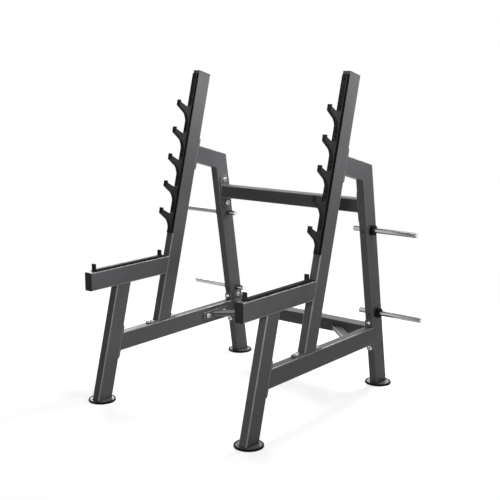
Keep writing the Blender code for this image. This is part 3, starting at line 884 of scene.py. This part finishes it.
wearBar = {
    "thick": 0.025,
    "back": 0.0036,
    "face": 0.010,
    "round": 0.0008,
    "topSeatDrop": 0.2209,
    "lowSeatRise": 0.2440,
    "above": 0.0457,          # a hook's segment ends this far above its seat
    "topGap": 0.015,
    "endRound": 0.001,
    "topRound": (0.0006, 0.002),
    "count": 5,
    "screwRadius": 0.0057,
    "screwDeep": 0.0048,
    "screwAbove": 0.0325,     # screws above and below the seat
    "screwBelow": 0.0985,
    "plainScrews": (1.814, 1.7215),
}
hook = {                      # points are out from the tube and up from the seat, headings in degrees
    "throat": 0.016,          # the seat's curve leaves the bar's face this far up
    "seat": ((0.026, 0), (0.034, 0)),
    "rampEnd": (0.095, 0.013),
    "rampHeadings": (6, 15),
    "tipHeadings": (20, 90),
    "underHeadings": (213, 262),
    "tip": ((0.098, 0.016), (0.098, 0.0225), (0.0995, 0.025), (0.1052, 0.025), (0.1067, 0.0243),
            (0.107, 0.0235), (0.1062, -0.0070), (0.1055, -0.0084), (0.104, -0.009)),
    "under": (0.044, -0.0365),
    "heel": -0.099,           # the underside reaches the bar's face here
}
backing = {
    "wide": 0.046,
    "thick": 0.003,
    "edgeRound": 0.0005,
    "stripShort": 0.006,
}
topSeat = uprightLength - wearBar["topSeatDrop"]
lowSeat = armTop / leanAlong.z + wearBar["lowSeatRise"]
hookPitch = (topSeat - lowSeat) / (wearBar["count"] - 1)
segmentLow = wearBar["above"] - hookPitch
halfGap = gap / 2
barFace = wearBar["face"]
ahead = -leanBack
quarterTurn = 0.39            # the share that makes a right-angled curve round


def headed(degrees):
    return Vector((math.cos(math.radians(degrees)), math.sin(math.radians(degrees)), 0))


def curved(start, end, headings, steps=14, share=0.32):
    # smooth span between two points, with its headings at both, in degrees
    first = Vector((*start, 0))
    last = Vector((*end, 0))
    leaving, arriving = [headed(degrees) * (last - first).length * share for degrees in headings]
    span = interpolate_bezier(first, first + leaving, last - arriving, last, steps + 1)
    return [(point.x, point.y) for point in span]


def hookOutline():
    low = segmentLow + halfGap
    top = wearBar["above"] - halfGap
    soft = wearBar["endRound"]
    outline = [(wearBar["back"], low), (wearBar["back"], top), (barFace - soft, top), (barFace, top - soft)]
    outline += curved((barFace, hook["throat"]), hook["seat"][0], (-90, 0), 10, quarterTurn)
    outline += curved(hook["seat"][1], hook["rampEnd"], hook["rampHeadings"])
    outline += curved(hook["rampEnd"], hook["tip"][0], hook["tipHeadings"], 4)[1:]
    outline += hook["tip"][1:]
    outline += curved(hook["under"], (barFace, hook["heel"]), hook["underHeadings"], 18)
    outline += [(barFace, low + soft), (barFace - soft, low)]
    return outline


def barFromOutline(points):
    # side outline in the frame's plane, thickened along X, its long edges rounded
    bm = bmesh.new()
    verts = [bm.verts.new(point - across * wearBar["thick"] / 2) for point in points]
    bm.faces.new(verts)
    pushOut(bm, bm.faces[:], across * wearBar["thick"])
    clean(bm)
    half = wearBar["thick"] / 2 - margin
    rims = [edge for edge in bm.edges if all(vert.co.x > half for vert in edge.verts)
            or all(vert.co.x < -half for vert in edge.verts)]
    roundEdges(bm, rims, wearBar["round"])
    return bm


def onUpright(out, distance):
    return upTo(uprightLine, distance, -out)


screwPlaces = []


def screwedBar(name, outline, distances, node):
    # a bar on the uprights, its screws given by their distances along the upright
    places = [onUpright(barFace, distance) for distance in distances]
    bar = barFromOutline([onUpright(*point) for point in outline])
    bar = withPockets(bar, places, ahead, wearBar["screwRadius"], wearBar["screwDeep"])
    onBothSides(bar, name, node, "hookPlastic", 30)
    screwPlaces.extend(places)


for number in range(wearBar["count"]):
    seat = topSeat - number * hookPitch
    screwedBar("hook" + str(number + 1), [(out, seat + rise) for out, rise in hookOutline()],
               (seat + wearBar["screwAbove"], seat - wearBar["screwBelow"]), "hook_" + str(number + 1))

plainLow = topSeat + wearBar["above"] + halfGap
plainHigh = uprightLength - wearBar["topGap"]
nearRound, farRound = wearBar["topRound"]
plainOutline = [(wearBar["back"], plainLow), (wearBar["back"], plainHigh),
                (barFace - farRound, plainHigh), (barFace - nearRound, plainHigh - nearRound),
                (barFace, plainHigh - farRound), (barFace, plainLow + wearBar["endRound"]),
                (barFace - wearBar["endRound"], plainLow)]
screwedBar("uprightWearBar", plainOutline, wearBar["plainScrews"], "upright_wear_bar")


def backingStrip(place, rise, normal, length):
    bm = slab(backing["wide"], length, backing["thick"], backing["thick"], 4)
    roundEdges(bm, sharpEdges(bm), backing["edgeRound"], 2)
    standOn(bm, place, rise.cross(normal), rise, normal)
    return bm


barsLow = lowSeat + segmentLow
strip = backingStrip(onUpright(gap, (barsLow + plainHigh) / 2), leanAlong, ahead, plainHigh - barsLow)
onBothSides(strip, "uprightBacking", "upright_backing", "backingRubber")

spotterBar = {
    "front": sideFrame["armFront"] + 0.0395,
    "rear": armMeets.y - 0.050,
    "upstand": 0.0415,
    "upstandThick": 0.0105,
    "fillet": 0.005,
    "topRound": 0.001,
}


def spotterOutline():
    under = armTop + wearBar["back"]
    face = armTop + barFace
    high = armTop + spotterBar["upstand"]
    front = spotterBar["front"]
    rear = spotterBar["rear"]
    thick = spotterBar["upstandThick"]
    fillet = spotterBar["fillet"]
    soft = spotterBar["topRound"]
    bends = (                 # from, to, headings, steps
        ((front, high - soft), (front + soft, high), (90, 0), 4),
        ((front + thick - soft, high), (front + thick, high - soft), (0, -90), 4),
        ((front + thick, face + fillet), (front + thick + fillet, face), (-90, 0), 7),
        ((rear - thick - fillet, face), (rear - thick, face + fillet), (0, 90), 7),
        ((rear - thick, high - soft), (rear - thick + soft, high), (90, 0), 4),
        ((rear - soft, high), (rear, high - soft), (0, -90), 4),
    )
    outline = [(rear, under), (front, under)]
    for bend in bends:
        outline += curved(*bend, quarterTurn)
    return [Vector((0, y, z)) for y, z in outline]


onBothSides(barFromOutline(spotterOutline()), "spotterWearBar", "spotter_wear_bar", "hookPlastic", 30)
stripEnd = armMeets.y - backing["stripShort"]
stripMiddle = Vector((0, (spotterBar["front"] + stripEnd) / 2, armTop + gap))
strip = backingStrip(stripMiddle, rearward, up, stripEnd - spotterBar["front"])
onBothSides(strip, "spotterBacking", "spotter_backing", "backingRubber")
print("wear bars and caps ready")


# Storage rods and their collars

def storageRod(place, outward):
    bm = bmesh.new()
    bmesh.ops.create_cone(bm, cap_ends=True, segments=storage["segments"], radius1=storage["radius"],
                          radius2=storage["radius"], depth=storage["outerEnd"] - storage["innerEnd"])
    roundEdges(bm, sharpEdges(bm), storage["chamfer"])
    pointAlong(bm, place + outward * (storage["outerEnd"] + storage["innerEnd"]) / 2, outward)
    for face in bm.faces:
        if len(face.verts) > 4:
            face.material_index = 1       # the bright sawn ends
    return bm


def rodCollar(place, outward):
    bm = turnedRing(storage["radius"] + gap, storage["collarRadius"], storage["collarLong"],
                    storage["collarRound"], storage["segments"])
    pointAlong(bm, place + outward * (sideFrame["middle"] + halfWide + gap), outward)
    return bm


for level, place in rodPlaces.items():
    for side, away in sides.items():
        label = level.capitalize() + side
        rod = finishPiece(storageRod(place, away), "storageRod" + label, "rodChrome", inner="boltZinc")
        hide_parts("storage_rod_" + level + "_" + side.lower())
        collar = finishPiece(rodCollar(place, away), "rodCollar" + label, "footRubber", 30)
        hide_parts("rod_collar_" + level + "_" + side.lower())
print("storage rods ready")


# Fasteners

bolt = {
    "washerRadius": 0.0135,
    "washerHole": 0.0070,
    "washerThick": 0.0024,
    "washerRound": 0.0004,
    "radius": 0.0090,
    "high": 0.0100,
    "round": 0.0010,
    "socket": 0.0063,         # corner radius of the hex socket
    "socketDeep": 0.0060,
    "segments": 48,
}
screw = {
    "radius": 0.0051,
    "high": 0.0026,
    "round": 0.0004,
    "socket": 0.0025,
    "socketDeep": 0.0014,
}


def socketHead(head):
    # round head with a hex socket, standing on the XY plane
    bm = bmesh.new()
    bmesh.ops.create_circle(bm, cap_ends=False, radius=head["radius"], segments=bolt["segments"])
    outer = bm.edges[:]
    bmesh.ops.create_circle(bm, cap_ends=False, radius=head["socket"], segments=6)
    inner = [edge for edge in bm.edges if edge not in outer]
    bmesh.ops.subdivide_edges(bm, edges=inner, cuts=7)
    inner = [edge for edge in bm.edges if edge not in outer]
    move(bm, up * head["high"])
    bmesh.ops.bridge_loops(bm, edges=outer + inner)
    skirt = bmesh.ops.extrude_edge_only(bm, edges=outer)
    move(bm, up * -head["high"], only(BMVert, skirt))
    bmesh.ops.contextual_create(bm, geom=only(BMEdge, skirt))
    well = bmesh.ops.extrude_edge_only(bm, edges=inner)
    move(bm, up * -head["socketDeep"], only(BMVert, well))
    floor = bmesh.ops.contextual_create(bm, geom=only(BMEdge, well))
    # the socket's faces take the second finish, which for the bolts is painted shade
    for face in only(BMFace, well) + floor["faces"]:
        face.material_index = 1
    turnOutwards(bm)
    roundEdges(bm, [edge for edge in outer if edge.is_valid], head["round"])
    return bm


def boltWithWasher():
    bm = turnedRing(bolt["washerHole"], bolt["washerRadius"], bolt["washerThick"], bolt["washerRound"],
                    bolt["segments"])
    head = socketHead(bolt)
    move(head, up * bolt["washerThick"])
    mesh = meshFrom(head, "head")
    bm.from_mesh(mesh)
    bpy.data.meshes.remove(mesh)
    return bm


def fasten(name, shape, place, outward, finish, inner):
    bm = shape.copy()
    pointAlong(bm, place, outward)
    return finishPiece(bm, name, finish, 30, inner)


frameBolts = {                # middle of the plate, outward, along the plate, reach
    "boltRailFront": (*railEnds["front"], plates["bolt"]),
    "boltRailRear": (*railEnds["rear"], plates["bolt"]),
    "boltBase": (baseMiddle, up, rearward, plates["baseBolt"]),
    "boltKnee": (kneeMiddle, leanBack, leanAlong, plates["bolt"]),
}
boltShape = boltWithWasher()
for side, away in sides.items():
    shift = away * sideFrame["middle"]
    boltPlaces = [(name, place + shift, outward, along, reach)
                  for name, (place, outward, along, reach) in frameBolts.items()]
    inner = away * innerFace
    for level, place in crossPlaces.items():
        boltPlaces.append(("boltCross" + level.capitalize(), place + inner, -away, rearAlong,
                           plates["bolt"]))
    braceMiddle = Vector((0, brace["railY"], railHeight)) + inner
    boltPlaces.append(("boltBrace", braceMiddle, -away, rearward, plates["braceBolt"]))
    for name, place, outward, along, reach in boltPlaces:
        for number, way in enumerate((1, -1), 1):
            seatAt = place + outward * plateFace + along * reach * way
            fasten(name + side + str(number), boltShape, seatAt, outward, "boltZinc", "socketShade")

screwShape = socketHead(screw)
screwRows = {                 # places, outward, depth in the pocket
    "barScrew": (screwPlaces, ahead, wearBar["screwDeep"]),
    "setScrew": (setScrewPlaces, -rearBack, storage["setScrewDeep"]),
}
for side, away in sides.items():
    shift = away * sideFrame["middle"]
    for name, (places, outward, deep) in screwRows.items():
        for number, place in enumerate(places, 1):
            fasten(name + side + str(number), screwShape, place + shift - outward * deep,
                   outward, "screwBlack", "screwBlack")
print("fasteners ready")


# Studio

studio = {
    "floorRadius": 14.0,
    "whiteFrom": 1.3,         # the floor turns plain white this far out
    "whiteTo": 3.0,
    "floorColour": 0.45,
    "floorGrain": 0.01,
    "floorLift": 0.62,
    "ambient": 0.12,
}
camera = {
    "place": (3.2337, -4.0011, 1.8232),
    "azimuth": 38.55,
    "elevation": 11.05,
    "lens": 68.14,
    "sensor": 36.0,
    "farthest": 100.0,
}
lamps = {                     # place, aim, size, power
    "rightSoftbox": ((3.0, 0.6, 2.8), (2.0, 0.4, 3.8), (1.4, 1.4), 345),
    "rearSoftbox": ((0.3, 3.2, 3.0), (0.0, 0.2, 0.9), (1.8, 1.5), 170),
    "leftSoftbox": ((-3.4, 1.8, 2.6), (-0.4, 0.2, 0.9), (1.6, 1.6), 110),
    "overheadStrip": ((0.1, 0.2, 2.7), (0.1, 0.2, 0.0), (0.5, 1.6), 15),
    "nearStrip": ((1.25, -1.7, 1.3), (0.9, 0.0, 1.0), (0.4, 0.9), 18),
}


def aimed(obj, place, aim):
    obj.location = place
    look = Vector(aim) - Vector(place)
    obj.rotation_euler = look.to_track_quat("-Z", "Y").to_euler()


for name, (place, aim, size, power) in lamps.items():
    light = bpy.data.lights.new(name, "AREA")
    light.shape = "RECTANGLE"
    light.size, light.size_y = size
    light.energy = power
    box = addObject(name, light)
    aimed(box, place, aim)
    box.visible_camera = False


def backgroundRays(tree):
    # 1 for what the camera, metal and glass see
    path = addNode(tree, "LightPath").outputs
    seen = addMath(tree, "MAXIMUM", path["Is Camera Ray"], path["Is Glossy Ray"])
    return addMath(tree, "MAXIMUM", seen, path["Is Transmission Ray"])


world = bpy.data.worlds.new("studio")
bpy.context.scene.world = world
world.use_nodes = True
tree = world.node_tree
tree.nodes.clear()
dim = addNode(tree, "Background", Color=(1, 1, 1, 1), Strength=studio["ambient"])
white = addNode(tree, "Background", Color=(1, 1, 1, 1), Strength=1.0)
chosen = feed(tree, addNode(tree, "MixShader"), backgroundRays(tree), dim.outputs[0], white.outputs[0])
tree.links.new(chosen, addNode(tree, "OutputWorld").inputs["Surface"])


def floorMaterial():
    # pale floor that keeps the rack's shadow and turns plain white further out
    material = bpy.data.materials.new("paleFloor")
    material.use_nodes = True
    tree = material.node_tree
    tree.nodes.clear()
    link = tree.links.new
    distance = addNode(tree, "VectorMath", operation="LENGTH")
    link(addNode(tree, "TexCoord").outputs["Object"], distance.inputs[0])
    far = addRange(tree, distance.outputs["Value"], studio["whiteFrom"], studio["whiteTo"])
    matt = addNode(tree, "BsdfDiffuse")
    link(addRange(tree, addNoise(tree, 3.0, 4.0), 0.3, 0.7, studio["floorColour"] - studio["floorGrain"],
                  studio["floorColour"] + studio["floorGrain"]), matt.inputs["Color"])
    seen = backgroundRays(tree)
    lift = addNode(tree, "Emission", Color=(1, 1, 1, 1))
    link(addMath(tree, "MULTIPLY", seen, studio["floorLift"]), lift.inputs["Strength"])
    near = feed(tree, addNode(tree, "AddShader"), matt.outputs[0], lift.outputs[0])
    plain = addNode(tree, "Emission", Color=(1, 1, 1, 1), Strength=1.0)
    beyond = addMath(tree, "MULTIPLY", seen, far)
    mixed = feed(tree, addNode(tree, "MixShader"), beyond, near, plain.outputs[0])
    link(mixed, addNode(tree, "OutputMaterial").inputs["Surface"])
    return material


bm = bmesh.new()
bmesh.ops.create_circle(bm, cap_ends=True, radius=studio["floorRadius"], segments=128)
turnOutwards(bm)
floorMesh = meshFrom(bm, "floor")
floorMesh.materials.append(floorMaterial())
floor = addObject("floor", floorMesh)

cameraData = bpy.data.cameras.new("photoCamera")
cameraData.lens = camera["lens"]
cameraData.sensor_width = camera["sensor"]
cameraData.clip_end = camera["farthest"]
photoCamera = addObject("photoCamera", cameraData)
elevation = math.radians(camera["elevation"])
forward = headed(90 + camera["azimuth"]) * math.cos(elevation) - up * math.sin(elevation)
aimed(photoCamera, camera["place"], Vector(camera["place"]) + forward)
bpy.context.scene.camera = photoCamera
bpy.context.scene.view_settings.view_transform = "Standard"
print("studio ready")
